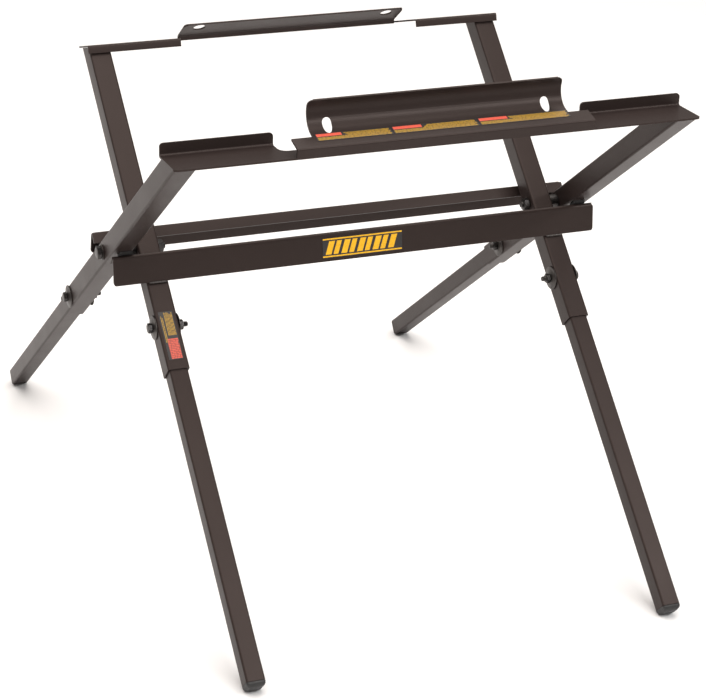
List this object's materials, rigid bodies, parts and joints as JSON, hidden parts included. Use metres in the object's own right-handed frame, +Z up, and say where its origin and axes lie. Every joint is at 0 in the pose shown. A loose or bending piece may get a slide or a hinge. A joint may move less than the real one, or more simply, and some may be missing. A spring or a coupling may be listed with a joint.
{
  "type": "folding saw stand",
  "caption": "Folding steel stand for a bench-top table saw: two crossed leg frames on a pivot, flanged cross rails with cradles, cross braces and telescoping legs.",
  "frame": {"origin": "on the floor, under the middle of the open stand's bounding box", "axes": "+Z up, X along the rails and the pivot line, -Y the front, where the badge is"},
  "size_m": [0.598, 0.8354, 0.5803],
  "materials": {
    "powder_coat": "satin brown-black powder coat",
    "black_zinc": "black zinc, semi-gloss",
    "grey_steel": "dull grey pressed steel",
    "black_plastic": "moulded, slightly rough",
    "black_rubber": "matte",
    "badge_yellow": "printed film, semi-gloss",
    "label_olive": "printed film, semi-gloss",
    "label_red": "printed film, semi-gloss"
  },
  "bodies": {
    "inner_frame": {"upper_tube_inner_l": "powder_coat", "upper_tube_inner_r": "powder_coat", "rear_rail": "powder_coat", "front_brace": "powder_coat", "badge": "badge_yellow", "leg_label": "label_red", "stop_pad_l": "black_rubber", "stop_pad_r": "black_rubber", "clamp_bolt_inner_l": "black_zinc", "clamp_nut_inner_l": "black_zinc", "dome_washer_out_inner_l": "grey_steel", "dome_washer_in_inner_l": "grey_steel", "clamp_bolt_inner_r": "black_zinc", "clamp_nut_inner_r": "black_zinc", "dome_washer_out_inner_r": "grey_steel", "dome_washer_in_inner_r": "grey_steel"},
    "outer_frame": {"upper_tube_outer_l": "powder_coat", "upper_tube_outer_r": "powder_coat", "front_rail": "powder_coat", "rear_brace": "powder_coat", "rail_label_1": "label_olive", "rail_label_2": "label_olive", "rail_label_3": "label_olive", "clamp_bolt_outer_l": "black_zinc", "clamp_nut_outer_l": "black_zinc", "dome_washer_out_outer_l": "grey_steel", "dome_washer_in_outer_l": "grey_steel", "clamp_bolt_outer_r": "black_zinc", "clamp_nut_outer_r": "black_zinc", "dome_washer_out_outer_r": "grey_steel", "dome_washer_in_outer_r": "grey_steel", "pivot_bolt_l": "black_zinc", "pivot_nut_l": "black_zinc", "pivot_washer_l": "grey_steel", "pivot_spacer_l": "black_zinc", "pivot_bolt_r": "black_zinc", "pivot_nut_r": "black_zinc", "pivot_washer_r": "grey_steel", "pivot_spacer_r": "black_zinc"},
    "leg_outer_l": {"lower_leg_outer_l": "powder_coat", "foot_plug_outer_l": "black_plastic", "foot_rivet_outer_l": "black_zinc"},
    "leg_outer_r": {"lower_leg_outer_r": "powder_coat", "foot_plug_outer_r": "black_plastic", "foot_rivet_outer_r": "black_zinc"},
    "leg_inner_l": {"lower_leg_inner_l": "powder_coat", "foot_plug_inner_l": "black_plastic", "foot_rivet_inner_l": "black_zinc"},
    "leg_inner_r": {"lower_leg_inner_r": "powder_coat", "foot_plug_inner_r": "black_plastic", "foot_rivet_inner_r": "black_zinc"}
  },
  "joints": [
    {"name": "fold", "type": "hinge", "parent": "inner_frame", "child": "outer_frame", "pos_m": [0, -0.04318, 0.355], "axis": [-1, 0, 0], "range_deg": [0, 90]},
    {"name": "outer_l_slide", "type": "slide", "parent": "outer_frame", "child": "leg_outer_l", "axis": [0, -0.7948, 0.6069], "range_m": [0, 0.035]},
    {"name": "outer_r_slide", "type": "slide", "parent": "outer_frame", "child": "leg_outer_r", "axis": [0, -0.7948, 0.6069], "range_m": [0, 0.035]},
    {"name": "inner_l_slide", "type": "slide", "parent": "inner_frame", "child": "leg_inner_l", "axis": [0, 0.7265, 0.6872], "range_m": [0, 0.035]},
    {"name": "inner_r_slide", "type": "slide", "parent": "inner_frame", "child": "leg_inner_r", "axis": [0, 0.7265, 0.6872], "range_m": [0, 0.035]}
  ]
}
